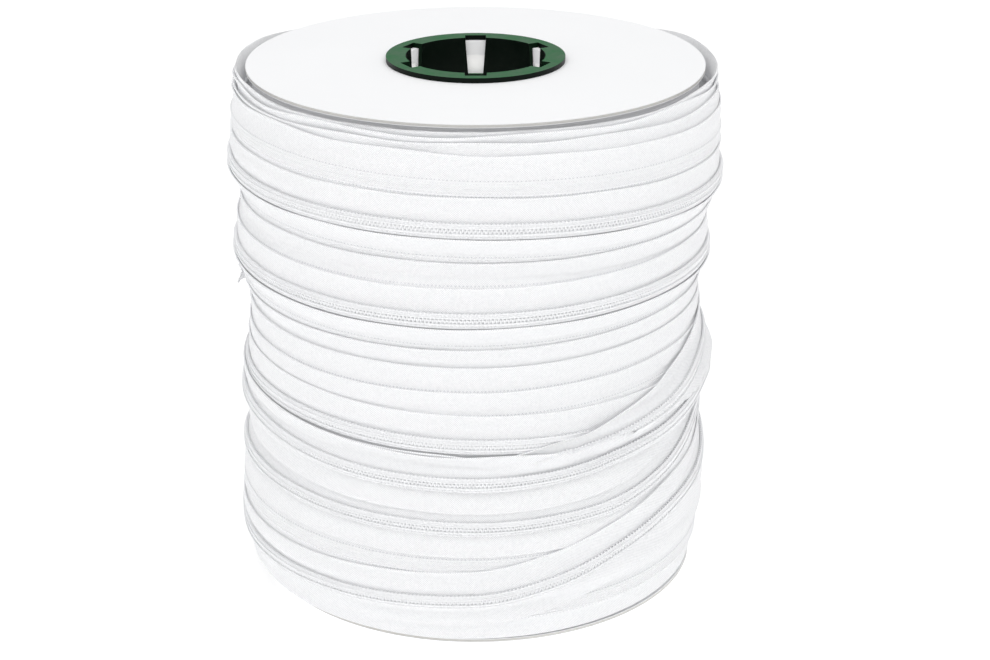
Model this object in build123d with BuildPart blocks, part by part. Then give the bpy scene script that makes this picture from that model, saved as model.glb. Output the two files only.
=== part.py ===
from build123d import *
from math import atan, cos, radians, sin
import os

# A reel of continuous nylon coil zipper chain: two card flanges on a paper tube, a plastic bush
# in each end, and the chain wound between the flanges in overlapping turns.
# Millimetres, +Z up, origin at the centre of the face that the reel stands on.
# Angles about Z are counted from the front of the reel (-Y), positive towards +X.

# ---- reel -------------------------------------------------------------------------------
flange_radius = 95.0
board_thickness = 1.0
paper_thickness = 0.25
card_thickness = board_thickness + 2 * paper_thickness
card_to_card = 221.3  # outer face to outer face

tube_bore_radius = 31.75
tube_wall = 3.75
card_hole_radius = 31.3
lip_outer_radius = 31.15  # the outer paper is folded down into the hole
lip_inner_radius = 30.75
lip_depth = 6.0

bush_bore_radius = 29.0
barrel_radius = 30.5
barrel_depth = 24.0
bush_flange_radius = 37.2
bush_flange_thickness = 2.1
notch_count = 6
notch_reach = 33.0  # from the reel's axis to the end of a notch in the bush's flange
notch_mouth = 8.9
notch_foot = 6.4
notch_depth = 16.0

base_card_z = bush_flange_thickness
top_card_z = base_card_z + card_to_card
reel_height = top_card_z + bush_flange_thickness

# ---- zipper chain -----------------------------------------------------------------------
chain_width = 26.0
tape_thickness = 0.6
tape_gap = 1.6  # between the two tapes, under the coils
coil_width = 6.0  # of the closed pair
coil_gap = 0.1
coil_thickness = 1.7
coil_seat = 0.02  # air between a coil and its tape

# ---- winding ----------------------------------------------------------------------------
winding_clearance = 0.3
inner_winding_radius = 92.6
turn_foot_radius = 93.0  # every turn's lower edge lies at this radius
layer_pitch = 2.9  # radial room that a turn needs over the turn above it
first_lean = 0.2  # outward lean of the highest turn, radius over height
# Height of each outer turn's middle over the base card's underside, from the top down.
turn_heights = [
    206.0, 198.0, 181.7, 168.0, 154.9, 144.2, 131.0, 118.0,
    108.6, 99.2, 89.9, 74.8, 55.6, 37.8, 24.0, 15.5,
]

# ---- loose end --------------------------------------------------------------------------
end_height = 123.6  # of the chain's middle at the hinge line
end_radius = 101.7  # of its inner face there
end_angle = -128.0
end_climb = 14.8  # degrees; the end climbs away from the hinge line
end_arc_radius = 118.0  # flatter than the winding, so that the cut end stands off
end_arc = 31.0  # degrees of that arc
end_lead = 6.0  # more degrees of it behind the hinge line, which are cut off there

os.makedirs("parts", exist_ok=True)


def save(part, name):
    """Labels a finished piece and writes it to its own file."""
    part.label = name
    export_step(part, f"parts/{name}.step")


def ring(inner_radius, outer_radius, low_z, high_z):
    """A flat or tubular ring about Z."""
    with BuildPart() as piece:
        with BuildSketch(Plane.XY.offset(low_z)):
            Circle(outer_radius)
            Circle(inner_radius, mode=Mode.SUBTRACT)
        extrude(amount=high_z - low_z)
    return piece.part


# ---- card flanges -----------------------------------------------------------------------
def card_board(low_z):
    """The grey board in the middle of a flange."""
    return ring(card_hole_radius, flange_radius, low_z, low_z + board_thickness)


def inner_paper(low_z):
    """The white paper on a flange's face towards the chain."""
    return ring(card_hole_radius, flange_radius, low_z, low_z + paper_thickness)


def outer_paper(face_z, inward):
    """The white paper on a flange's outer face, with its rim folded into the tube.
    inward is +1 where the tube lies above the face and -1 where it lies below."""
    paper_z = face_z + inward * paper_thickness
    lip_z = face_z + inward * lip_depth
    with BuildPart() as paper:
        with BuildSketch(Plane.XZ):
            with BuildLine():
                Polyline(
                    (lip_inner_radius, face_z),
                    (flange_radius, face_z),
                    (flange_radius, paper_z),
                    (lip_outer_radius, paper_z),
                    (lip_outer_radius, lip_z),
                    (lip_inner_radius, lip_z),
                    close=True,
                )
            make_face()
        revolve(axis=Axis.Z)
    return paper.part


save(card_board(base_card_z + paper_thickness), "bottom_board")
save(outer_paper(base_card_z, 1), "bottom_outer_paper")
save(inner_paper(base_card_z + card_thickness - paper_thickness), "bottom_inner_paper")
save(card_board(top_card_z - paper_thickness - board_thickness), "top_board")
save(outer_paper(top_card_z, -1), "top_outer_paper")
save(inner_paper(top_card_z - card_thickness), "top_inner_paper")

# ---- tube -------------------------------------------------------------------------------
tube_low_z = base_card_z + card_thickness
tube_high_z = top_card_z - card_thickness
tube_radius = tube_bore_radius + tube_wall
save(ring(tube_bore_radius, tube_radius, tube_low_z, tube_high_z), "core_tube")


# ---- bushes -----------------------------------------------------------------------------
def bush(face_z, inward):
    """A flanged bush. face_z is its outer face, and inward is the way into the tube."""
    collar_z = face_z + inward * bush_flange_thickness
    end_z = collar_z + inward * barrel_depth
    foot_z = face_z + inward * notch_depth
    with BuildPart() as piece:
        with BuildSketch(Plane.XZ):
            with BuildLine():
                Polyline(
                    (bush_bore_radius, face_z),
                    (bush_flange_radius, face_z),
                    (bush_flange_radius, collar_z),
                    (barrel_radius, collar_z),
                    (barrel_radius, end_z),
                    (bush_bore_radius, end_z),
                    close=True,
                )
            make_face()
        revolve(axis=Axis.Z)
        # Keyways: a notch in the flange that runs on down the barrel as a tapered window.
        for index in range(notch_count):
            angle = radians(360 / notch_count * index - 90)
            outward = Vector(cos(angle), sin(angle), 0)
            sideways = Vector(-sin(angle), cos(angle), 0)
            with BuildSketch(Plane(origin=(0, 0, 0), x_dir=sideways, z_dir=outward)):
                with BuildLine():
                    Polyline(
                        (-notch_mouth / 2, face_z),
                        (notch_mouth / 2, face_z),
                        (notch_foot / 2, foot_z),
                        (-notch_foot / 2, foot_z),
                        close=True,
                    )
                make_face()
            extrude(amount=notch_reach, mode=Mode.SUBTRACT)
    return piece.part


save(bush(0, 1), "bottom_bush")
save(bush(reel_height, -1), "top_bush")

# ---- inner winding ----------------------------------------------------------------------
save(
    ring(
        tube_radius + winding_clearance,
        inner_winding_radius,
        tube_low_z + winding_clearance,
        tube_high_z - winding_clearance,
    ),
    "inner_winding",
)

# ---- the chain's section ----------------------------------------------------------------
half_chain = chain_width / 2
half_gap = tape_gap / 2
half_coil_gap = coil_gap / 2
half_coil = coil_width / 2
coil_floor = tape_thickness + coil_seat
# Each band is (lower edge, upper edge, inner face, outer face): across the chain from its
# middle, and outwards from the tapes' inner face.
upper_tape = (half_gap, half_chain, 0, tape_thickness)
lower_tape = (-half_chain, -half_gap, 0, tape_thickness)
upper_coil = (half_coil_gap, half_coil, coil_floor, coil_floor + coil_thickness)
lower_coil = (-half_coil, -half_coil_gap, coil_floor, coil_floor + coil_thickness)


def band_corners(band, middle_radius, middle_z, lean):
    """The four corners of a band's section, as radius and height. The chain leans outwards
    by the angle lean, and (middle_radius, middle_z) is the middle of its inner face."""
    low, high, inner, outer = band
    return [
        (
            middle_radius + across * sin(lean) + out * cos(lean),
            middle_z + across * cos(lean) - out * sin(lean),
        )
        for across, out in ((low, inner), (high, inner), (high, outer), (low, outer))
    ]


def turn(bands, middle_radius, middle_z, lean):
    """One full turn of some of the chain's bands, as separate rings."""
    with BuildPart() as piece:
        for band in bands:
            with BuildSketch(Plane.XZ):
                with BuildLine():
                    Polyline(*band_corners(band, middle_radius, middle_z, lean), close=True)
                make_face()
            revolve(axis=Axis.Z)
    return piece.part


# ---- outer turns ------------------------------------------------------------------------
# Each turn lies over the lower part of the turn above it, like a row of shingles: its lower
# edge reaches the inner winding, and its lean gives room for the turn beneath it.
slope = first_lean
previous_z = None
for number, height in enumerate(turn_heights, 1):
    turn_z = base_card_z + height
    if previous_z is not None:
        drop = previous_z - turn_z
        over_foot = layer_pitch / drop
        over_head = (slope * (chain_width - drop) + layer_pitch) / chain_width
        slope = max(over_foot, over_head)
    lean = atan(slope)
    turn_radius = turn_foot_radius + half_chain * sin(lean)
    save(turn([upper_tape], turn_radius, turn_z, lean), f"turn_{number:02d}_upper_tape")
    save(turn([lower_tape], turn_radius, turn_z, lean), f"turn_{number:02d}_lower_tape")
    save(turn([upper_coil, lower_coil], turn_radius, turn_z, lean), f"turn_{number:02d}_coils")
    previous_z = turn_z

# ---- loose end --------------------------------------------------------------------------
# The cut end of the chain. It hinges on the upright line where it leaves the winding.
end_way = radians(end_angle - 90)
outward = Vector(cos(end_way), sin(end_way), 0)
onward = Vector(-sin(end_way), cos(end_way), 0)
end_z = base_card_z + end_height
hinge = outward * end_radius + Vector(0, 0, end_z)
arc_centre = hinge - outward * end_arc_radius
climb = radians(end_climb)
along = onward * cos(climb) + Vector(0, 0, sin(climb))
lead = radians(end_lead)
start_outward = outward * cos(lead) - along * sin(lead)
start_along = along * cos(lead) + outward * sin(lead)
start_plane = Plane(origin=arc_centre, x_dir=start_outward, z_dir=-start_along)
arc_axis = Axis(arc_centre, start_plane.y_dir)


def loose_bands(bands):
    """The given bands of the chain, bent to the loose end's arc from its hinge line on."""
    with BuildPart() as piece:
        for band in bands:
            with BuildSketch(start_plane):
                with BuildLine():
                    Polyline(*band_corners(band, end_arc_radius, 0, 0), close=True)
                make_face()
            revolve(axis=arc_axis, revolution_arc=end_lead + end_arc)
        split(bisect_by=Plane(origin=hinge, z_dir=onward), keep=Keep.TOP)
    return piece.part


save(loose_bands([upper_tape, lower_tape]), "loose_end_tapes")
save(loose_bands([upper_coil, lower_coil]), "loose_end_coils")

print(f"height {reel_height:.1f}, hinge at {hinge.X:.2f}, {hinge.Y:.2f}, {hinge.Z:.1f}")
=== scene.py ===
import math

import bpy
import numpy as np
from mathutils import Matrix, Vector


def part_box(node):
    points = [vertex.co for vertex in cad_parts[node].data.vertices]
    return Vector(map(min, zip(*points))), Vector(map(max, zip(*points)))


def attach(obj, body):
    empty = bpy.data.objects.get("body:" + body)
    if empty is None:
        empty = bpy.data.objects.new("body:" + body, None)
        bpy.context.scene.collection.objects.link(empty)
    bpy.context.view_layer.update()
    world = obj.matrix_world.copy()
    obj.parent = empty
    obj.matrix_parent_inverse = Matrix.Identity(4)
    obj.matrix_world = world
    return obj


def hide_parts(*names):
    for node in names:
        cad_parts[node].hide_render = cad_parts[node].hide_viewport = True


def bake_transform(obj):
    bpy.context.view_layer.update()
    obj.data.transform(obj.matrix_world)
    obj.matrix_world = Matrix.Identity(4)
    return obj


# A roll of coil zipper chain on a card reel. Lengths in this script are millimetres, as in the
# CAD model, and become metres where a mesh is made. Heights are counted from the underside of
# the lower card flange. Angles go round the reel's axis in degrees: 0 is the front (-Y), and
# 90 is +X. The chain that shows is one continuous strip, laid turn by turn on a height field.

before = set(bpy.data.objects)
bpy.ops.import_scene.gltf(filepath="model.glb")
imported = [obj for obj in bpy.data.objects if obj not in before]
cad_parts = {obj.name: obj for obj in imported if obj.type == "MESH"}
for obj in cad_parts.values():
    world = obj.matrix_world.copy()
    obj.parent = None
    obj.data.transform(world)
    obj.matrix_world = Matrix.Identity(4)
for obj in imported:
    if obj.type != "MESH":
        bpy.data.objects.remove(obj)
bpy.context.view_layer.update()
MM = 0.001
TAU = 2 * math.pi
random = np.random.default_rng(7)


# ---- places read from the frame ---------------------------------------------------------
def corners(node):
    """A CAD node's lowest and highest corners, in millimetres."""
    low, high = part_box(node)
    return np.array(low) / MM, np.array(high) / MM


card_base = corners("bottom_outer_paper")[0][2]
flange_radius = corners("top_board")[1][0]
chain_low = corners("bottom_inner_paper")[1][2] - card_base
chain_high = corners("top_inner_paper")[0][2] - card_base

# ---- camera, light and floor ------------------------------------------------------------
# The camera was fitted to the photo's rims and bush, in flange radii and radians.
CAMERA_DISTANCE = 9.1907 * flange_radius
CAMERA_HEIGHT = 4.7346 * flange_radius
CAMERA_PITCH = 0.3805  # downwards
CAMERA_YAW = -0.0092
CAMERA_LENS = 78.53
SENSOR_WIDTH = 36
AIM = (0, 0, 0.11)  # of the lamps, in metres
FLOOR_SIZE = 6.0  # metres
FLOOR_GLOW = 0.4
SKY_ABOVE = 0.45  # brightness overhead, where 1 is the brightness at the horizon
SKY_FADE = (0.1, 0.4)  # upward part of the view where the sky starts and ends dimming
LAMPS = (
    # name, place in metres, size in metres, watts
    ("left", (-0.9, -1.0, 1.8), 1.4, 12.0),
    ("right", (0.9, -0.9, 1.8), 1.4, 11.1),
    ("behind", (0.0, 1.1, 1.8), 1.4, 7.1),
)


def build_camera():
    """The photo's camera, in front of the reel and above it."""
    data = bpy.data.cameras.new("camera")
    data.lens = CAMERA_LENS
    data.sensor_width = SENSOR_WIDTH
    data.clip_start, data.clip_end = 0.05, 50
    camera = bpy.data.objects.new("camera", data)
    camera.location = (0, -CAMERA_DISTANCE * MM, (CAMERA_HEIGHT + card_base) * MM)
    camera.rotation_euler = (math.pi / 2 - CAMERA_PITCH, 0, CAMERA_YAW)
    bpy.context.scene.collection.objects.link(camera)
    bpy.context.scene.camera = camera


def build_lamp(name, place, size, watts):
    """A square soft box at place, turned towards the roll's middle."""
    data = bpy.data.lights.new(name, "AREA")
    data.shape = "SQUARE"
    data.size = size
    data.energy = watts
    lamp = bpy.data.objects.new(name, data)
    lamp.location = place
    aim = Vector(AIM) - Vector(place)
    lamp.rotation_euler = aim.to_track_quat("-Z", "Y").to_euler()
    bpy.context.scene.collection.objects.link(lamp)


def build_world():
    """A white surround that is brightest at the horizon, where it meets the floor."""
    world = bpy.data.worlds.new("studio")
    world.use_nodes = True
    nodes, links = world.node_tree.nodes, world.node_tree.links
    sky = nodes["Background"]
    sky.inputs["Color"].default_value = (1, 1, 1, 1)
    way = nodes.new("ShaderNodeTexCoord")
    parts = nodes.new("ShaderNodeSeparateXYZ")
    dimmed = nodes.new("ShaderNodeMapRange")
    dimmed.inputs["From Min"].default_value, dimmed.inputs["From Max"].default_value = SKY_FADE
    dimmed.inputs["To Min"].default_value = 1.0
    dimmed.inputs["To Max"].default_value = SKY_ABOVE
    links.new(way.outputs["Generated"], parts.inputs[0])
    links.new(parts.outputs[2], dimmed.inputs["Value"])
    links.new(dimmed.outputs[0], sky.inputs["Strength"])
    bpy.context.scene.world = world


def build_floor():
    """A wide flat floor under the roll."""
    mesh = bpy.data.meshes.new("floor")
    half = FLOOR_SIZE / 2
    outline = [(-half, -half, 0), (half, -half, 0), (half, half, 0), (-half, half, 0)]
    mesh.from_pydata(outline, [], [(0, 1, 2, 3)])
    mesh.materials.append(MATERIALS["floor"])
    floor = bpy.data.objects.new("floor", mesh)
    bpy.context.scene.collection.objects.link(floor)


# ---- materials --------------------------------------------------------------------------
COIL_ANGLE = 0.88  # of each loop of coil, in degrees round the reel
STITCH = math.radians(COIL_ANGLE) * flange_radius
WARP_PITCH = 0.84
WEFT_PITCH = 0.9
HOLE_ROW = 2.95  # from the chain's middle to the row of needle holes
HOLE_HALF_WIDTH = 0.27
PAINTED_GLOW = 0.06  # painted light: a glow of the tapes, the winding and the white paper that lightens them and the shade in their creases, in place of light that comes through them
TUBE_PAINTED_GLOW = 0.3  # painted light: a glow of the tube that lightens it where it shows in the shaded bore, for the light that comes down the bore
PAINTED_GLOWING = {"Emission_Color": (1, 1, 1, 1), "Emission_Strength": PAINTED_GLOW}


class Material:
    """A Principled material with short ways to add nodes to it."""

    def __init__(self, name, colour, roughness, **sockets):
        self.made = bpy.data.materials.new(name)
        self.made.use_nodes = True
        self.tree = self.made.node_tree
        self.shader = self.tree.nodes["Principled BSDF"]
        self.shader.inputs["Base Color"].default_value = (*colour, 1)
        self.shader.inputs["Roughness"].default_value = roughness
        for socket, value in sockets.items():
            self.shader.inputs[socket.replace("_", " ")].default_value = value

    def node(self, kind, *feeds, **settings):
        """A new node with its inputs fed in order: None leaves one alone."""
        made = self.tree.nodes.new(kind)
        for setting, value in settings.items():
            setattr(made, setting, value)
        for index, feed in enumerate(feeds):
            if isinstance(feed, bpy.types.NodeSocket):
                self.tree.links.new(feed, made.inputs[index])
            elif feed is not None:
                made.inputs[index].default_value = feed
        return made

    def math(self, operation, *feeds):
        """A maths node's result."""
        return self.node("ShaderNodeMath", *feeds, operation=operation).outputs[0]

    def noise(self, place, scale, detail=2.0, roughness=0.5):
        """Noise read at place, with about scale features a millimetre."""
        made = self.node("ShaderNodeTexNoise", place)
        made.inputs["Scale"].default_value = scale
        made.inputs["Detail"].default_value = detail
        made.inputs["Roughness"].default_value = roughness
        return made.outputs["Fac"]

    def wave(self, place, pitch):
        """A sine wave along place, with one crest in each pitch."""
        return self.math("SINE", self.math("MULTIPLY", place, TAU / pitch))

    def strip_place(self):
        """Places along and across the chain, in millimetres."""
        strip = self.node("ShaderNodeUVMap", uv_map="strip").outputs[0]
        return self.node("ShaderNodeSeparateXYZ", strip).outputs[:2]

    def object_place(self):
        """The point in millimetres in the row's frame."""
        point = self.node("ShaderNodeTexCoord").outputs["Object"]
        return self.node("ShaderNodeVectorMath", point, (1 / MM,) * 3, operation="MULTIPLY").outputs[0]

    def map_range(self, value, low, high):
        """value stretched to go from low, where it is 0, to high, where it is 1."""
        made = self.node("ShaderNodeMapRange", value)
        made.inputs["To Min"].default_value = low
        made.inputs["To Max"].default_value = high
        return made.outputs[0]

    def blend_colour(self, factor, first, second):
        """Base colour from first to second as factor goes from 0 to 1."""
        ramp = self.node("ShaderNodeValToRGB", factor)
        ramp.color_ramp.elements[0].color = (*first, 1)
        ramp.color_ramp.elements[1].color = (*second, 1)
        self.tree.links.new(ramp.outputs[0], self.shader.inputs["Base Color"])

    def rough(self, value):
        """Roughness from value."""
        self.tree.links.new(value, self.shader.inputs["Roughness"])

    def bump(self, height, strength, distance):
        """Bump of that height, with distance in millimetres."""
        made = self.node("ShaderNodeBump", strength, distance * MM)
        self.tree.links.new(height, made.inputs["Height"])
        self.tree.links.new(made.outputs[0], self.shader.inputs["Normal"])


def tape_material(name, hole_shade_depth):
    """Woven polyester tape. The weave follows the chain, and a row of dark dots, painted shade of the
    needle holes, shows along each tape where the coils are behind it."""
    # The tape glows a little: painted light that lightens it and the shade in its creases.
    m = Material(name, (0.9, 0.9, 0.92), 0.85, Sheen_Weight=0.25, Subsurface_Weight=0.35,
                 Subsurface_Radius=(1, 1, 1), Subsurface_Scale=1.5 * MM, **PAINTED_GLOWING)
    along, sideways = m.strip_place()
    weave = m.math("MULTIPLY", m.wave(sideways, WARP_PITCH), m.wave(along, WEFT_PITCH))
    slub = m.noise(m.object_place(), 0.9, 3.0, 0.6)
    relief = m.math("ADD", m.math("MULTIPLY", weave, 0.6), slub)
    # Dots along the row of needle holes are painted darker: painted shade in the holes.
    row = m.math("COMPARE", m.math("ABSOLUTE", sideways), HOLE_ROW, HOLE_HALF_WIDTH)
    hole_shade = m.math("MULTIPLY", m.math("GREATER_THAN", m.wave(along, STITCH), 0.1), row)
    hole_shade = m.math("MULTIPLY", hole_shade, hole_shade_depth)
    tone = m.math("ADD", m.math("MULTIPLY", weave, 0.42), m.map_range(slub, 0.45, 1.1))
    m.blend_colour(m.math("SUBTRACT", tone, hole_shade), (0.575, 0.585, 0.615), (0.945, 0.95, 0.96))
    m.rough(m.map_range(slub, 0.78, 0.95))
    m.bump(relief, 0.8, 0.16)
    return m.made


def coil_material():
    """White nylon monofilament, a little glossy and slightly see-through at its edges."""
    m = Material("nylon_coil", (0.9, 0.9, 0.92), 0.35, Subsurface_Weight=0.1,
                 Subsurface_Radius=(1, 1, 1), Subsurface_Scale=0.5 * MM)
    speck = m.noise(m.object_place(), 1.5, 2.0)
    m.blend_colour(speck, (0.88, 0.885, 0.9), (0.95, 0.955, 0.965))
    m.rough(m.map_range(speck, 0.3, 0.45))
    m.bump(speck, 0.2, 0.03)
    return m.made


def thread_material():
    """Sewing thread and cord, with the twist of their strands."""
    m = Material("sewing_thread", (0.95, 0.95, 0.95), 0.7, Sheen_Weight=0.2)
    twist = m.wave(m.math("ADD", *m.strip_place()), 0.4)
    m.blend_colour(m.map_range(twist, 0.3, 0.7), (0.9, 0.905, 0.92), (0.97, 0.975, 0.985))
    m.rough(m.map_range(twist, 0.65, 0.8))
    m.bump(twist, 0.5, 0.05)
    return m.made


def paper_material(name, dark, light, grain, painted_glow):
    """Smooth paper with faint fibres. Its glow is painted light: on the white paper it stands for light
    that comes through it, and on the tube for light that comes down the bore into its shade.
    """
    m = Material(name, light, 0.7, Emission_Color=(1, 1, 1, 1), Emission_Strength=painted_glow)
    place = m.object_place()
    fibre = m.noise(place, grain, 4.0, 0.7)
    cloud = m.noise(place, 0.02, 2.0)
    m.blend_colour(m.math("MULTIPLY", m.math("ADD", fibre, cloud), 0.5), dark, light)
    m.rough(m.map_range(fibre, 0.6, 0.8))
    m.bump(fibre, 0.15, 0.05)
    return m.made


def board_material():
    """Grey chipboard, seen on its cut edge: layered, with darker flecks."""
    m = Material("grey_board", (0.4, 0.39, 0.37), 0.9)
    place = m.object_place()
    layers = m.node("ShaderNodeVectorMath", place, (0.4, 0.4, 5.0), operation="MULTIPLY").outputs[0]
    fibre = m.noise(layers, 1.0, 5.0, 0.75)
    m.blend_colour(fibre, (0.5, 0.49, 0.47), (0.85, 0.84, 0.8))
    m.rough(m.map_range(fibre, 0.8, 0.98))
    m.bump(fibre, 0.6, 0.25)
    return m.made


def bush_material():
    """Dark green moulded plastic, scuffed. Its colour is painted light and shade: upward faces are
    painted lighter green, and side and downward faces, the bore among them, painted near black.
    """
    m = Material("green_plastic", (0.01, 0.05, 0.02), 0.35, Specular_IOR_Level=0.1)
    place = m.object_place()
    normal = m.node("ShaderNodeSeparateXYZ", m.node("ShaderNodeNewGeometry").outputs["Normal"])
    skin = m.noise(place, 1.2, 3.0)
    scuff = m.noise(place, 0.12, 5.0, 0.75)
    # Painted light and shade: lighter green on upward faces and near black on the others, broken up by
    # scuffs.
    painted_lighting = m.math("MULTIPLY", normal.outputs[2], m.map_range(scuff, 0.35, 1.3))
    m.blend_colour(painted_lighting, (0.001, 0.004, 0.002), (0.01, 0.13, 0.035))
    m.rough(m.map_range(scuff, 0.16, 0.62))
    m.bump(skin, 0.12, 0.05)
    return m.made


def winding_material():
    """The buried turns, seen only through gaps: layer on layer of tape edges."""
    # The winding glows a little: painted light that lightens the shade in the gaps it is seen through.
    m = Material("wound_chain", (0.85, 0.85, 0.87), 0.9, **PAINTED_GLOWING)
    place = m.object_place()
    distance = m.node("ShaderNodeVectorMath", place, operation="LENGTH").outputs["Value"]
    height = m.node("ShaderNodeSeparateXYZ", place).outputs[2]
    layers = m.math("MULTIPLY", m.wave(distance, 1.1), m.wave(height, 0.6))
    relief = m.math("ADD", layers, m.noise(place, 0.6, 3.0))
    m.blend_colour(m.map_range(relief, 0.2, 0.8), (0.7, 0.7, 0.72), (0.9, 0.9, 0.92))
    m.rough(m.map_range(relief, 0.8, 0.95))
    m.bump(relief, 0.6, 0.3)
    return m.made


def floor_material():
    """A pale studio floor, bright enough to join the background."""
    colour = (0.9, 0.9, 0.9)
    return Material("floor", colour, 0.9, Emission_Color=(1, 1, 1, 1), Emission_Strength=FLOOR_GLOW).made


MATERIALS = {
    "tape": tape_material("woven_tape", 0.0),
    "tape_back": tape_material("woven_tape_back", 0.5),
    "coil": coil_material(),
    "thread": thread_material(),
    "paper": paper_material("white_paper", (0.86, 0.865, 0.875), (0.92, 0.925, 0.935), 2.0, PAINTED_GLOW),
    "tube": paper_material("tube_paper", (0.84, 0.835, 0.82), (0.95, 0.945, 0.935), 1.0, TUBE_PAINTED_GLOW),
    "board": board_material(),
    "bush": bush_material(),
    "winding": winding_material(),
    "floor": floor_material(),
}


# ---- the reel ---------------------------------------------------------------------------
BUSH_ROUND = 0.35


def finish_node(node, material, rounding=None):
    """Gives a CAD node its material and, where its edges are moulded, a small round on them."""
    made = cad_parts[node]
    made.data.materials.clear()
    made.data.materials.append(MATERIALS[material])
    if rounding:
        modifier = made.modifiers.new("round", "BEVEL")
        modifier.width = rounding * MM
        modifier.segments = 3
        modifier.limit_method = "ANGLE"
        modifier.angle_limit = math.radians(50)


for end in ("top", "bottom"):
    finish_node(f"{end}_board", "board")
    finish_node(f"{end}_outer_paper", "paper")
    finish_node(f"{end}_inner_paper", "paper")
    finish_node(f"{end}_bush", "bush", BUSH_ROUND)
finish_node("core_tube", "tube")
finish_node("inner_winding", "winding")


# ---- meshes -----------------------------------------------------------------------------
SHARP_ANGLE = 60


def round_place(radius, height, angle):
    """Points in metres in the row's frame, from radius, height and angle in degrees."""
    way = np.radians(angle)
    x, y = radius * np.sin(way), -radius * np.cos(way)
    return np.stack([x, y, height + card_base], axis=-1) * MM


class Builder:
    """Gathers swept strips and tubes into one mesh with one material for each of them."""

    def __init__(self):
        self.points, self.places, self.faces, self.sizes, self.slots = [], [], [], [], []
        self.count = 0
        self.materials = []

    def sweep(self, rings, places, material):
        """A closed tube through rings: (stations, points round, 3), with flat ends. places holds
        each point's place along and across the chain, in millimetres."""
        stations, around = rings.shape[:2]
        if material not in self.materials:
            self.materials.append(material)
        slot = self.materials.index(material)
        index = np.arange(stations * around).reshape(stations, around) + self.count
        ahead = np.roll(index, -1, axis=1)
        sides = np.stack([index[:-1], ahead[:-1], ahead[1:], index[1:]], axis=-1).reshape(-1, 4)
        self.faces.append(sides.ravel())
        self.sizes.append(np.full(len(sides), 4))
        self.faces += [index[0][::-1], index[-1]]
        self.sizes.append(np.array([around, around]))
        self.slots.append(np.full(len(sides) + 2, slot))
        self.points.append(rings.reshape(-1, 3))
        self.places.append(places.reshape(-1, 2))
        self.count += stations * around

    def make(self, name):
        """The gathered mesh as one object, with its edges sharp where they turn steeply."""
        points, places = np.concatenate(self.points), np.concatenate(self.places)
        faces, sizes = np.concatenate(self.faces), np.concatenate(self.sizes)
        mesh = bpy.data.meshes.new(name)
        mesh.vertices.add(len(points))
        mesh.vertices.foreach_set("co", points.ravel().astype(np.float32))
        mesh.loops.add(len(faces))
        mesh.loops.foreach_set("vertex_index", faces.astype(np.int32))
        mesh.polygons.add(len(sizes))
        mesh.polygons.foreach_set("loop_start", (np.cumsum(sizes) - sizes).astype(np.int32))
        mesh.polygons.foreach_set("material_index", np.concatenate(self.slots).astype(np.int32))
        layer = mesh.uv_layers.new(name="strip")
        layer.data.foreach_set("uv", places[faces].ravel().astype(np.float32))
        mesh.update(calc_edges=True)
        mesh.shade_smooth()
        mesh.set_sharp_from_angle(angle=math.radians(SHARP_ANGLE))
        for material in self.materials:
            mesh.materials.append(MATERIALS[material])
        made = bpy.data.objects.new(name, mesh)
        bpy.context.scene.collection.objects.link(made)
        return made


# ---- the chain's sizes ------------------------------------------------------------------
HALF = 13.0  # half the chain's width
TAPE = 0.6
BEAD = 0.18  # how much thicker the tape is along its outer edge
GAP = 0.08  # between one layer and the next
CARD_GAP = 0.3  # between the chain and a card
RISES = 2.2  # how far the chain may rise beside the upper card
COIL_HALF = 3.0  # half the closed coils' width
COIL_HEIGHT = 1.6
FILAMENT = 0.42  # radius
CORD = 0.76  # radius
YARN = 0.09  # radius
# A loop of coil runs from its tail, out on the tape, to its head, just past the chain's middle.
LOOP_MIDDLE = 1.22
LOOP_HALF = 1.72
LOOP_FLATNESS = 1.7  # above 1, a loop's legs run level over and under the cord
HEAD_SWELL = 0.3  # how much thicker a loop is at its head, as a share
SUNK = 0.35  # how much of its height an inward coil still raises the tape by
STIFFNESS = 0.85  # how flat outward coils hold the chain's middle: 1 is quite flat

# ---- the winding, in the order in which it was wound ------------------------------------
# Each turn: its CAD turn, 1 where its coils face outwards and 0 where they face inwards, and
# the height of its middle at 75 degrees left, in front, at 75 degrees right and at the back.
TURNS = (
    ("turn_01", 0, 209.5, 209.3, 209.5, 207.5),
    ("turn_01", 0, 206.5, 205.6, 205.5, 205.0),
    ("turn_01", 0, 203.3, 202.0, 201.0, 202.0),
    ("turn_02", 0, 201.5, 198.0, 194.8, 192.0),
    ("turn_03", 1, 184.1, 181.7, 178.0, 181.0),
    ("turn_04", 0, 169.5, 167.1, 163.5, 166.0),
    ("turn_05", 0, 156.5, 154.9, 154.5, 152.0),
    ("turn_06", 1, 146.8, 144.2, 146.0, 143.0),
    ("turn_07", 0, 132.2, 129.6, 131.1, 129.0),
    ("turn_08", 0, 119.0, 118.0, 121.0, 119.0),
    ("turn_09", 0, 110.5, 109.8, 112.5, 109.0),
    ("turn_10", 0, 101.0, 99.6, 102.0, 97.0),
    ("turn_11", 1, 94.2, 89.9, 88.5, 88.0),
    ("turn_16", 0, 80.0, 62.0, 44.0, 26.0),
    ("turn_16", 0, 17.5, 15.5, 16.5, 26.0),
    ("turn_14", 0, 38.5, 37.8, 39.0, 50.0),
    ("turn_13", 1, 56.8, 54.7, 72.5, 72.0),
    ("turn_12", 1, 77.0, 75.5, 104.0, 97.0),
    ("turn_12", 1, 80.4, 73.6, 91.0, 57.0),
    ("turn_15", 1, 19.5, 23.2, 49.5, 99.3),
)
SIDE = 75.0
LAST = len(TURNS) - 1
CROSSING = 17  # the turn that comes up over the next one in front
FOLDED_WIDTH = 0.3  # how wide its folded part lies, as a share
FOLD = 0.8  # from the tape to its fold
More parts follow.
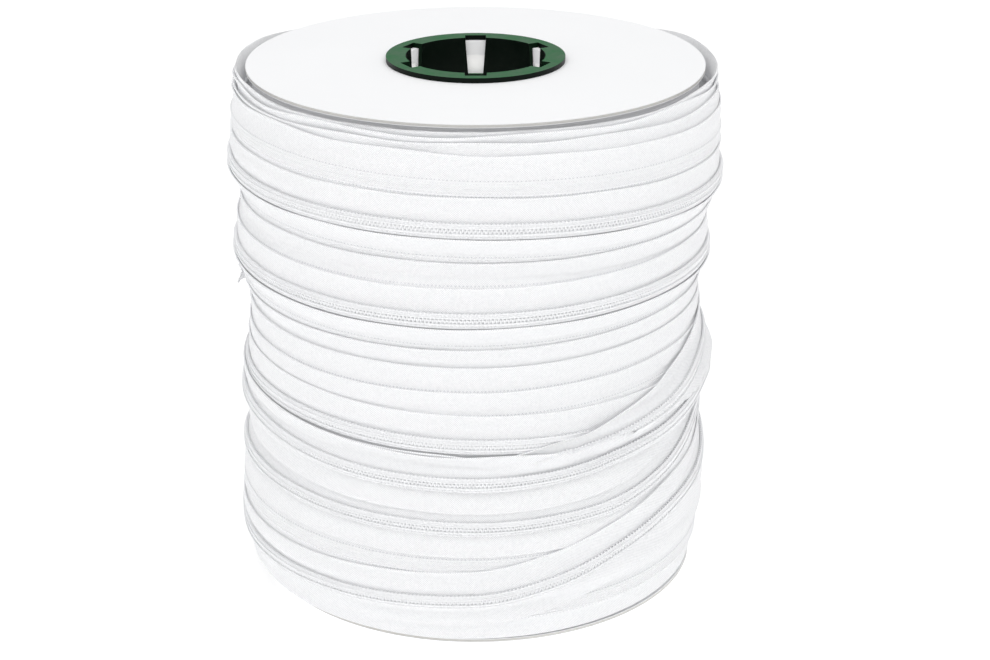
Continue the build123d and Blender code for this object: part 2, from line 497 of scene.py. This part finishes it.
# How much of its lower tape shows, in millimetres, and how wide its upper tape lies, as a share,
# at angles past the front.
LOWER_TAPE_SHOWN = ((-20, 13), (8, 0.8), (34, 0.8), (50, 4.5), (67, 9.5), (88, 13))
UPPER_TAPE_WIDTH = (
    (-90, 1), (-50, 0.94), (-10, 0.94), (18, 0.4), (25, 0.4), (35, 0.58), (48, 0.8), (64, 1),
)
PRESSED = 0.6  # how much of its coils' height is pressed in under the next turn
COMES_OUT = 22  # the angle at which it comes out over the next turn
REJOINS = 165  # and the one from which the next turn is over it again
# More heights, where the chain doesn't run evenly: turn, angle, height.
MORE_HEIGHTS = (
    (16, 30, 56.0), (16, 48, 60.4), (16, 62, 66.6),
    (17, 18, 84.6), (17, 35, 88.8), (17, 50, 93.2), (17, 62, 98.5), (17, 105, 108.0),
    (18, 25, 74.6), (18, 45, 79.8), (18, 62, 86.4), (18, 110, 85.0),
    (19, 18.5, 28.6), (19, 36.8, 37.0), (19, 55, 44.4), (19, 232, 122.8),
)
END_ANGLE = 267.0
END_HEIGHT = 134.0
END_SPRING = 24  # degrees over which the cut end springs off the roll
END_STANDS = 5.5  # how far its lower edge then stands off
# The crossing turn's lower edge stands out where it is let go, in a bell of this width.
EAR_ANGLE, EAR_WIDTH, EAR_STANDS = 98, 9, 5.5

# Radius of the buried turns that these ones lie on, by height. The roll is fuller on its left,
# and a little slimmer in front and behind near the upper card.
SLIMMER = 0.6
BASE_LEFT = (
    (0, 97.5), (8, 99.3), (20, 100.2), (30, 101.8), (40, 101.6), (50, 100.6), (58, 99.0),
    (65, 97.2), (75, 96.4), (85, 95.8), (97, 96.0), (110, 95.0), (120, 94.6), (130, 95.0),
    (137, 97.6), (141, 99.0), (150, 99.8), (158, 98.4), (168, 97.0), (174, 96.4), (181, 99.9),
    (188, 101.2), (197, 98.4), (207, 96.4), (214, 96.8), (221, 98.3),
)
BASE_RIGHT = (
    (0, 93.6), (10, 95.2), (20, 96.6), (28, 98.0), (40, 96.4), (55, 96.0), (65, 96.0),
    (72, 94.6), (79, 93.4), (86, 95.4), (92, 96.4), (100, 93.6), (113, 92.9), (127, 92.9),
    (135, 93.2), (141, 95.0), (148, 96.2), (155, 95.2), (161, 94.2), (168, 94.4), (174, 97.6),
    (181, 101.0), (188, 100.2), (195, 98.4), (205, 98.0), (213, 97.5), (221, 98.8),
)

STEP = 1.5  # degrees from one station to the next
ROUND = int(360 / STEP)  # stations in a turn
GRID = 0.5  # millimetres from one sample of the height field to the next
STEEPEST = 0.65  # how steeply the tape drapes over an edge
SMOOTH_ACROSS, SMOOTH_ALONG = 1.3, 2.0  # width of the bell that smooths it, in samples
REACH = 22  # how far to each side the chain is laid out, with its free edges
FIELD_HEIGHT = 226
DRAPE_REACH = 24  # samples to each side that a draped point looks at
ACROSS_STEP = 0.25
# Places from the middle where the coils end, and where their mound and the flat held by their
# stiffness end.
COIL_EDGE, MOUND_EDGE, STIFF_EDGE = 2.6, 4.6, 6
TURN_OVER = (172, 188)  # degrees past the front between which the chain turns over
heights = np.arange(0, FIELD_HEIGHT, GRID)
near = np.arange(-REACH, REACH + GRID, GRID)
across = np.arange(-HALF, HALF + ACROSS_STEP / 2, ACROSS_STEP)


# ---- curves and smoothing ---------------------------------------------------------------
def smooth_through(knots, at):
    """A curve through (place, value) knots, level at a peak and with no overshoot."""
    x, y = np.array(sorted(knots), float).T
    chord = np.diff(y) / np.diff(x)
    slope = np.concatenate([chord[:1], np.zeros(len(x) - 2), chord[-1:]])
    rising = chord[:-1] * chord[1:] > 0
    mean = 2 * chord[:-1] * chord[1:] / np.where(rising, chord[:-1] + chord[1:], 1)
    slope[1:-1] = np.where(rising, mean, 0)
    at = np.clip(at, x[0], x[-1])
    i = np.clip(np.searchsorted(x, at) - 1, 0, len(x) - 2)
    span = x[i + 1] - x[i]
    t = (at - x[i]) / span
    first = (1 + 2 * t) * (1 - t) ** 2 * y[i] + t * (1 - t) ** 2 * span * slope[i]
    return first + t * t * (3 - 2 * t) * y[i + 1] + t * t * (t - 1) * span * slope[i + 1]


def step_between(value, low, high):
    """Zero below low, one above high, and smooth between them."""
    t = np.clip((value - low) / (high - low), 0, 1)
    return t * t * (3 - 2 * t)


def wander(angle, seed, waves, fastest):
    """Slow waviness about zero and about one high, with no more than fastest waves a turn."""
    draw = np.random.default_rng(seed)
    total = np.zeros_like(angle)
    for _ in range(waves):
        rate = draw.uniform(0.15, 1.0) * fastest
        total = total + np.sin(np.radians(angle) * rate + draw.uniform(0, TAU))
    return total / math.sqrt(waves)


def blurred(values, width, axis):
    """values smoothed along axis by a bell width samples wide."""
    reach = int(3 * width) + 1
    bell = np.exp(-0.5 * (np.arange(-reach, reach + 1) / width) ** 2)
    bell /= bell.sum()
    out = np.zeros_like(values)
    for shift, weight in zip(range(-reach, reach + 1), bell):
        out += weight * shifted(values, shift, axis)
    return out


def shifted(values, shift, axis):
    """values moved along axis, with the end ones repeated."""
    index = np.clip(np.arange(values.shape[axis]) - shift, 0, values.shape[axis] - 1)
    return np.take(values, index, axis=axis)


def draped(surface):
    """The lowest surface over this one that leans no steeper than the tape drapes."""
    out = surface.copy()
    for shift in range(1, DRAPE_REACH + 1):
        drop = STEEPEST * GRID * shift
        beside = np.maximum(shifted(surface, shift, 1), shifted(surface, -shift, 1))
        out = np.maximum(out, beside - drop)
    return out


def coil_mound(place):
    """One over a pair of coils, falling to zero just past them."""
    return 1 - step_between(np.abs(place), COIL_EDGE, MOUND_EDGE)


# ---- where the chain runs ---------------------------------------------------------------
def path_knots():
    """The chain's angles, which run on from turn to turn, and its heights there."""
    knots = [(-180, TURNS[0][2] + 0.2)]
    for turn, (_, _, left, front, right, back) in enumerate(TURNS):
        start = 360 * turn
        knots += [(start - SIDE, left), (start, front), (start + SIDE, right), (start + 180, back)]
    knots += [(360 * turn + angle, height) for turn, angle, height in MORE_HEIGHTS]
    knots.append((360 * LAST + END_ANGLE, END_HEIGHT))
    return knots


PATH = path_knots()
LAST_STATION = round((360 * LAST + END_ANGLE) / STEP)


def facing(angle):
    """One where the coils face outwards and zero where they face inwards. The chain turns over
    behind the reel."""
    turn = np.clip((angle / 360).round(), 0, LAST).astype(int)
    sides = np.array([outwards for _, outwards, *_ in TURNS], float)
    here, after = sides[turn], sides[np.clip(turn + 1, 0, LAST)]
    before = sides[np.clip(turn - 1, 0, LAST)]
    turn_angle = angle - 360 * turn
    late, early = step_between(turn_angle, *TURN_OVER), step_between(-turn_angle, *TURN_OVER)
    return here + (after - here) * late + (before - here) * early


def ruffle(angle, place):
    """How far the tape's free edges stand off what they lie on."""
    turn = angle / 360
    most = np.interp(turn, (0, 2, 3, 4, LAST), (1.2, 1.0, 0.6, 0.15, 0.15))
    upper = np.clip((place - 5) / 8, 0, 1.4) ** 2
    lower = np.clip((-place - 5) / 8, 0, 1.4) ** 2
    wave_up = 0.55 + 0.45 * wander(angle, 3, 7, 17)
    wave_down = 0.5 + 0.5 * wander(angle, 5, 7, 13)
    return (most * wave_up)[:, None] * upper + (0.1 * wave_down)[:, None] * lower


def edge_wave(angle):
    """How far the first turns' upper edges wave up and down, at each place across."""
    most = np.interp(angle / 360, (0, 2, 3, 5), (0.9, 0.7, 0.3, 0.1))
    return (most * wander(angle, 9, 7, 14))[:, None] * np.clip((across - 4) / 9, 0, 1)


def end_lift(angle, place):
    """The cut end's lower tape springs off the roll."""
    near_end = step_between(angle - 360 * LAST, END_ANGLE - END_SPRING, END_ANGLE)[:, None]
    return near_end * np.interp(place, (-HALF, 3), (END_STANDS, 0.5))


def crossing_ear(angle, place):
    """The crossing turn's lower tape stands out where it is let go."""
    bell = np.exp(-0.5 * ((angle - 360 * CROSSING - EAR_ANGLE) / EAR_WIDTH) ** 2)
    return (EAR_STANDS * bell)[:, None] * np.clip((-place - 1) / 12, 0, 1.2) ** 1.5


def folded(angle):
    """Places across the chain, moved to where each lies from the middle. The crossing turn's
    lower tape is folded under and both its tapes are gathered where it comes out."""
    turn_angle = angle - 360 * CROSSING
    shown = smooth_through(LOWER_TAPE_SHOWN, turn_angle)
    width = smooth_through(UPPER_TAPE_WIDTH, turn_angle)
    lies = np.where(across > 0, across * width[:, None], across)
    under = -shown[:, None] - FOLDED_WIDTH * (across[None, :] + shown[:, None])
    return np.where(across[None, :] < -shown[:, None], under, lies)


def fold_lift(angle):
    """How far the crossing turn is held off by its own fold, once it lies over the next turn."""
    turn_angle = angle - 360 * CROSSING
    return FOLD * step_between(turn_angle, 20, 34) * (1 - step_between(turn_angle, 66, 88))


# ---- laying the turns on each other -----------------------------------------------------
def bridged(field, stations, middle):
    """The radius at which a smooth tape with that middle lies on field."""
    index = np.clip((middle[:, None] + np.clip(near, -HALF, HALF)) / GRID, 0, len(heights) - 1.001)
    low, part, column = index.astype(int), index % 1, (stations % ROUND)[:, None]
    under = field[column, low] * (1 - part) + field[column, low + 1] * part
    for axis in (1, 0):
        under = np.maximum(under, np.maximum(shifted(under, 1, axis), shifted(under, -1, axis)))
    return blurred(blurred(draped(under), SMOOTH_ACROSS, 1), SMOOTH_ALONG, 0)


def between_cards(angle, radius, height):
    """height kept between the cards. On the left and right it may rise beside the upper one."""
    beside_card = step_between(radius, flange_radius + 0.1, flange_radius + 1.6)
    sideways = step_between(np.abs(np.sin(np.radians(angle))), 0.75, 0.95)[:, None]
    ceiling = chain_high - CARD_GAP + RISES * beside_card * sideways
    return np.clip(height, chain_low + CARD_GAP, ceiling)


def lay(field, stations):
    """Drapes the chain over field at those stations. Returns the radius and height of its inner
    face at each place across it."""
    angle = stations * STEP
    middle = smooth_through(PATH, angle)
    climb = np.gradient(middle, np.radians(angle)) / flange_radius
    stretch = np.sqrt(1 + climb**2)[:, None]
    radius = bridged(field, stations, middle)
    place = near / stretch
    stiff = np.where(np.abs(place) < COIL_HALF, radius, 0).max(axis=1, keepdims=True)
    hold = (STIFFNESS * (0.5 + 0.5 * facing(angle)))[:, None]
    radius += hold * (stiff - radius) * (1 - step_between(np.abs(place), COIL_EDGE, STIFF_EDGE))
    radius += SUNK * COIL_HEIGHT * coil_mound(place) * (1 - facing(angle))[:, None]
    radius += ruffle(angle, place) + crossing_ear(angle, place) + end_lift(angle, place)
    rate = np.hypot(1, np.gradient(radius, GRID, axis=1)) / stretch * GRID
    run = np.cumsum(rate, axis=1)
    run -= run[:, [len(near) // 2]]
    lies = folded(angle)
    shift = np.array([np.interp(row, length, near) for row, length in zip(lies, run)])
    radius = np.array([np.interp(row, near, values) for row, values in zip(shift, radius)])
    radius += fold_lift(angle)[:, None] - FOLD * ((across < 0) & (lies > across + 0.01))
    return radius, between_cards(angle, radius, middle[:, None] + shift + edge_wave(angle))


def outer_face(stations, radius):
    """The radius that the next layer rests on. The crossing turn's coils are pressed in where
    the next turn lies over them."""
    angle = stations * STEP
    turn_angle = angle - 360 * CROSSING
    pressed = PRESSED * step_between(turn_angle, -90, -60) * (1 - step_between(turn_angle, 14, 24))
    mound = coil_mound(across) * (facing(angle) * (1 - pressed))[:, None]
    return radius + TAPE + GAP + COIL_HEIGHT * mound


def cover(field, stations, radius, height):
    """Raises field to the chain's outer face at those stations."""
    column = np.broadcast_to((stations % ROUND)[:, None], height.shape)
    row = np.clip(np.round(height / GRID).astype(int), 0, len(heights) - 1)
    np.maximum.at(field, (column, row), outer_face(stations, radius))


ARC = 40  # stations laid at a time
MARGIN = 20  # more of them laid to each side, so that the smoothing sees what is there


def lay_arc(field, first, last):
    """Lays the stations from first up to last."""
    stations = np.arange(first - MARGIN, last + MARGIN)
    radius, height = lay(field, stations)
    return stations[MARGIN:-MARGIN], radius[MARGIN:-MARGIN], height[MARGIN:-MARGIN]


def lay_run(field, first, last):
    """Lays a long run of stations, each arc over all that lies more than an arc behind it."""
    arcs = []
    for start in range(first, last, ARC):
        arcs.append(lay_arc(field, start, min(start + ARC, last)))
        if len(arcs) > 1:
            cover(field, *arcs[-2])
    cover(field, *arcs[-1])
    return arcs


def lay_chain():
    """Lays the whole chain. Returns its stations, radii and heights, and the finished surface.
    The crossing turn goes under the next turn, and then comes out over it."""
    left, right = smooth_through(BASE_LEFT, heights), smooth_through(BASE_RIGHT, heights)
    sideways = np.sin(np.radians(np.arange(ROUND) * STEP))[:, None]
    slimmer = SLIMMER * (1 - np.abs(sideways)) * step_between(heights, 190, 215)
    field = (left * (1 - sideways) + right * (1 + sideways)) / 2 - slimmer
    start = round(-180 / STEP)
    come_out = round((360 * CROSSING + COMES_OUT) / STEP)
    rejoin = round((360 * CROSSING + REJOINS) / STEP)
    next_end = rejoin + ROUND
    arcs = lay_run(field, start, come_out)
    before = field.copy()
    later = lay_run(field, rejoin, next_end)
    crossing = [
        lay_arc(field, first, min(first + ARC, rejoin)) for first in range(come_out, rejoin, ARC)
    ]
    stations, radius, height = (np.concatenate(parts) for parts in zip(*crossing))
    _, under, _ = lay_arc(before, come_out, rejoin)
    over = step_between(stations, come_out, come_out + 12)[:, None]
    radius = under + (radius - under) * over
    cover(field, stations, radius, height)
    arcs += [(stations, radius, height)] + later + lay_run(field, next_end, LAST_STATION + 1)
    return [np.concatenate(parts) for parts in zip(*arcs)] + [field]


class Strip:
    """The laid chain as one strip. Angles run on from turn to turn, 360 degrees each."""

    def __init__(self, stations, radius, height, field):
        self.first = stations[0]
        along_r, along_z = np.gradient(radius, axis=1), np.gradient(height, axis=1)
        length = np.maximum(np.hypot(along_r, along_z), 1e-6)
        out, up = np.abs(along_z) / length, -along_r * np.sign(along_z) / length
        self.tables = (radius, height, out, up)
        middle = height[:, len(across) // 2]
        self.climb = np.arctan(np.gradient(middle, np.radians(STEP)) / flange_radius)
        column = np.broadcast_to((stations % ROUND)[:, None], height.shape)
        row = np.clip(np.round(height / GRID).astype(int), 0, len(heights) - 1)
        above = field[column, row] - outer_face(stations, radius)
        coils = [np.argmin(np.abs(across - place)) for place in (-1.5, 0, 1.5)]
        self.buried = above[:, coils].min(axis=1) > TAPE

    def read(self, angle, place):
        """Radius, height and the two parts of the outward normal, at angle and place across."""
        angle, place = np.broadcast_arrays(angle, place)
        rows, columns = self.tables[0].shape
        i = np.clip(angle / STEP - self.first, 0, rows - 1.001)
        j = np.clip((place + HALF) / ACROSS_STEP, 0, columns - 1.001)
        i0, j0 = i.astype(int), j.astype(int)
        a, b = i - i0, j - j0
        out = []
        for table in self.tables:
            low = table[i0, j0] * (1 - a) + table[i0 + 1, j0] * a
            high = table[i0, j0 + 1] * (1 - a) + table[i0 + 1, j0 + 1] * a
            out.append(low * (1 - b) + high * b)
        return out

    def points(self, angle, place, lift):
        """Points in metres, lift outside the tape's inner face. A line across the chain stays
        square to it where it climbs."""
        i = np.clip(np.round(angle / STEP - self.first).astype(int), 0, len(self.climb) - 1)
        square = angle - np.degrees(place * np.sin(self.climb[i]) / flange_radius)
        radius, height, out, up = self.read(square, place)
        return round_place(radius + lift * out, height + lift * up, square)

    def shown_spans(self, first, last):
        """The stretches of that run, in degrees, where its coils aren't buried, and a little
        more to each side."""
        i = np.arange(round(first / STEP), round(last / STEP) + 1) - self.first
        shown = ~self.buried[np.clip(i, 0, len(self.buried) - 1)]
        for _ in range(4):
            shown = shown | np.roll(shown, 1) | np.roll(shown, -1)
        edges = np.flatnonzero(np.diff(np.concatenate([[0], shown.astype(int), [0]])))
        return [(first + a * STEP, min(last, first + b * STEP))
                for a, b in zip(edges[::2], edges[1::2]) if (b - a) * STEP > 2]


strip = Strip(*lay_chain())


# ---- what the chain is made of ----------------------------------------------------------
# Places across a tape, closer together over the coils and at the bead.
TAPE_PLACES = (0.05, 0.9, 1.8, 2.7, 3.6, 4.8, 6.0, 7.4, 8.8, 10.2, 11.4, 12.2, 12.7)
BEAD_STARTS = (11.6, 12.4)  # places between which the tape thickens to its bead
CORD_PLACE = 1.6
# Each row of stitches: its place, its lift where the coils face outwards and where they face
# inwards, and its thread's radius.
STITCH_ROWS = ((1.3, COIL_HEIGHT + 0.1, -0.15, 0.3), (2.55, 1.15, -0.05, 0.32))
STITCH_DIPS = (0.08, 0.2)  # how deep a stitch dips, outwards and inwards
# Points in a loop of coil and round its filament, where the coils face outwards and inwards.
SHOWN_DETAIL, HIDDEN_DETAIL = (8, 5), (6, 4)


def along_mm(angle):
    """An angle as a length along the chain."""
    return np.radians(angle) * flange_radius


def add_tape(builder, first, last, side, ragged=0.0):
    """One tape, woven with a bead along its outer edge. A ragged end is torn by that much."""
    material = "tape" if facing(np.array([(first + last) / 2]))[0] > 0.5 else "tape_back"
    angle = np.append(np.arange(first, last, STEP), last)
    place = np.array(TAPE_PLACES)
    thick = TAPE + BEAD * step_between(place, *BEAD_STARTS)
    places = np.concatenate([place, [HALF], place[::-1]]) * side
    lifts = np.concatenate([thick, [TAPE / 2], np.zeros(len(place))])
    if side < 0:
        places, lifts = places[::-1], lifts[::-1]
    angle = np.repeat(angle[:, None], len(places), axis=1)
    if ragged:
        end = step_between(angle, last - 3, last)
        tear = wander(places * 25, 11, 9, 40) + 0.5 * wander(places * 25, 12, 9, 90)
        angle = angle + end * np.degrees(ragged * tear / flange_radius)
    places = np.broadcast_to(places, angle.shape)
    uv = np.stack([along_mm(angle), places], axis=-1)
    builder.sweep(strip.points(angle, places, np.broadcast_to(lifts, angle.shape)), uv, material)


def add_line(builder, angle, place, lift, radius, sides):
    """A cord or thread along the chain, at that place across and lift off the inner face."""
    turn = np.arange(sides) * TAU / sides
    angle = np.repeat(angle[:, None], sides, axis=1)
    place = place[:, None] + radius * np.cos(turn)
    lift = lift[:, None] + radius * np.sin(turn)
    uv = np.stack([along_mm(angle), np.broadcast_to(radius * turn, angle.shape)], axis=-1)
    builder.sweep(strip.points(angle, place, lift), uv, "thread")


def add_filament(builder, first, last, side, detail, sides):
    """One side's coil, wound flat round its cord and with heads that reach past the middle."""
    angle = np.arange(first, last, COIL_ANGLE / detail)
    turn = TAU * (angle / COIL_ANGLE + (0.5 if side < 0 else 0))
    place = side * (LOOP_MIDDLE - LOOP_HALF * np.cos(turn))
    legs = np.clip(LOOP_FLATNESS * np.sin(turn), -1, 1)
    rise = COIL_HEIGHT / 2 + (COIL_HEIGHT / 2 - FILAMENT) * legs
    out = facing(angle)
    lift = out * (TAPE + rise) - (1 - out) * rise
    centre = strip.points(angle, place, lift)
    head = 1 + HEAD_SWELL * step_between(np.cos(turn), 0.55, 0.95)
    tangent = np.gradient(centre, axis=0)
    tangent /= np.linalg.norm(tangent, axis=1, keepdims=True)
    forward = np.stack([np.cos(np.radians(angle)), np.sin(np.radians(angle)), 0 * angle], axis=1)
    first_way = forward - tangent * np.sum(forward * tangent, axis=1, keepdims=True)
    first_way /= np.linalg.norm(first_way, axis=1, keepdims=True)
    second_way = np.cross(tangent, first_way)
    ring = np.arange(sides) * TAU / sides
    thick = (FILAMENT * MM * head)[:, None, None]
    points = centre[:, None] + thick * (
        first_way[:, None] * np.cos(ring)[:, None] + second_way[:, None] * np.sin(ring)[:, None]
    )
    uv = np.stack(np.broadcast_arrays(along_mm(angle)[:, None], ring), axis=-1)
    builder.sweep(points, uv, "coil")


def add_coils(builder, first, last):
    """Both sides' coils, the cords inside them and the threads that hold them."""
    for side in (1, -1):
        long_angle = np.append(np.arange(first, last, STEP), last)
        out = facing(long_angle)
        middle = out * TAPE + (out - 0.5) * COIL_HEIGHT
        add_line(builder, long_angle, np.full(len(out), CORD_PLACE * side), middle, CORD, 6)
    for start, end in strip.shown_spans(first, last):
        outwards = facing(np.array([(start + end) / 2]))[0] > 0.5
        detail, sides = SHOWN_DETAIL if outwards else HIDDEN_DETAIL
        for side in (1, -1):
            add_filament(builder, start, end, side, detail, sides)
            add_threads(builder, start, end, side)


def add_threads(builder, start, end, side):
    """The two rows of stitches on one side. Each stitch dips between two loops of coil, or into
    the tape where the coil is behind it."""
    angle = np.arange(start, end, COIL_ANGLE / 4)
    beat = np.cos(TAU * (angle / COIL_ANGLE + (0.25 if side < 0 else 0.75)))
    out = facing(angle)
    top_dip, back_dip = STITCH_DIPS
    for place, top, back, thick in STITCH_ROWS:
        lift = TAPE + out * (top + top_dip * beat) + (1 - out) * (back + back_dip * beat)
        add_line(builder, angle, np.full(len(angle), place * side), lift, thick, 5)


def add_fray(builder, at, count):
    """Loose ends of yarn at the torn end, which lies at that angle."""
    for _ in range(count):
        place = random.uniform(-HALF + 0.3, 4.0)
        length = random.uniform(0.4, 2.0)
        bend = random.uniform(-1.0, 1.0)
        lean = random.uniform(-0.9, 1.6)
        t = np.linspace(-0.4, 1, 7)
        angle = at + np.degrees(t * length / flange_radius)
        sway = np.clip(place + bend * t * np.abs(t), -HALF + 0.1, HALF - 0.1)
        lift = TAPE / 2 + lean * t * np.abs(t)
        centre = fray_points(angle, sway, lift, at)
        builder.sweep(*round_tube(centre, YARN, 5), "thread")


def fray_points(angle, place, lift, at):
    """Points past the strip's end, carried on from it at its last angle."""
    base = strip.points(np.full_like(angle, at), place, lift)
    ahead = base - strip.points(np.full_like(angle, at - 1), place, lift)
    return base + ahead * (angle - at)[:, None]


def round_tube(centre, radius, sides):
    """Rings and strip places for a round tube along centre, in metres, with radius in mm."""
    tangent = np.gradient(centre, axis=0)
    tangent /= np.linalg.norm(tangent, axis=1, keepdims=True)
    first_way = np.cross(tangent, (0.0, 0.0, 1.0))
    first_way /= np.linalg.norm(first_way, axis=1, keepdims=True)
    second_way = np.cross(tangent, first_way)
    ring = np.arange(sides) * TAU / sides
    points = centre[:, None] + radius * MM * (
        first_way[:, None] * np.cos(ring)[:, None] + second_way[:, None] * np.sin(ring)[:, None]
    )
    uv = np.stack(np.broadcast_arrays(np.arange(len(centre))[:, None] * 1.0, ring), axis=-1)
    return points, uv


# ---- pieces -----------------------------------------------------------------------------
def spans_of(turn):
    """Where a CAD turn runs on the strip, in degrees."""
    return [(360 * k - 180, 360 * k + 180) for k, row in enumerate(TURNS) if row[0] == turn]


def place_piece(piece, node):
    """Makes a piece ride the roll in place of that CAD node."""
    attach(piece, "spool")
    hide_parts(node)


for turn in sorted({row[0] for row in TURNS}):
    for side, label in ((1, "upper"), (-1, "lower")):
        tape = Builder()
        for first, last in spans_of(turn):
            add_tape(tape, first, last, side)
        place_piece(tape.make(f"woven_{turn}_{label}"), f"{turn}_{label}_tape")
    coils = Builder()
    for first, last in spans_of(turn):
        add_coils(coils, first, last)
    place_piece(coils.make(f"wound_{turn}_coils"), f"{turn}_coils")

# The loose end bends just past the hinge, from where it lies on the roll, and is stiff beyond.
YARNS = 46
TORN = 0.6
tail_start, tail_end = 360 * LAST + 180, 360 * LAST + END_ANGLE
tail_tapes, tail_coils = Builder(), Builder()
for side in (1, -1):
    add_tape(tail_tapes, tail_start, tail_end, side, ragged=TORN)
add_fray(tail_tapes, tail_end, YARNS)
add_coils(tail_coils, tail_start, tail_end)
for builder, name, node, slot in (
    (tail_tapes, "woven_loose_end", "loose_end_tapes", "woven_tape"),
    (tail_coils, "wound_loose_end_coils", "loose_end_coils", "nylon_coil"),
):
    piece = builder.make(name)
    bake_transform(piece)
    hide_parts(node)

# ---- stage ------------------------------------------------------------------------------
build_camera()
for lamp in LAMPS:
    build_lamp(*lamp)
build_world()
build_floor()
bpy.context.scene.view_settings.view_transform = "Standard"
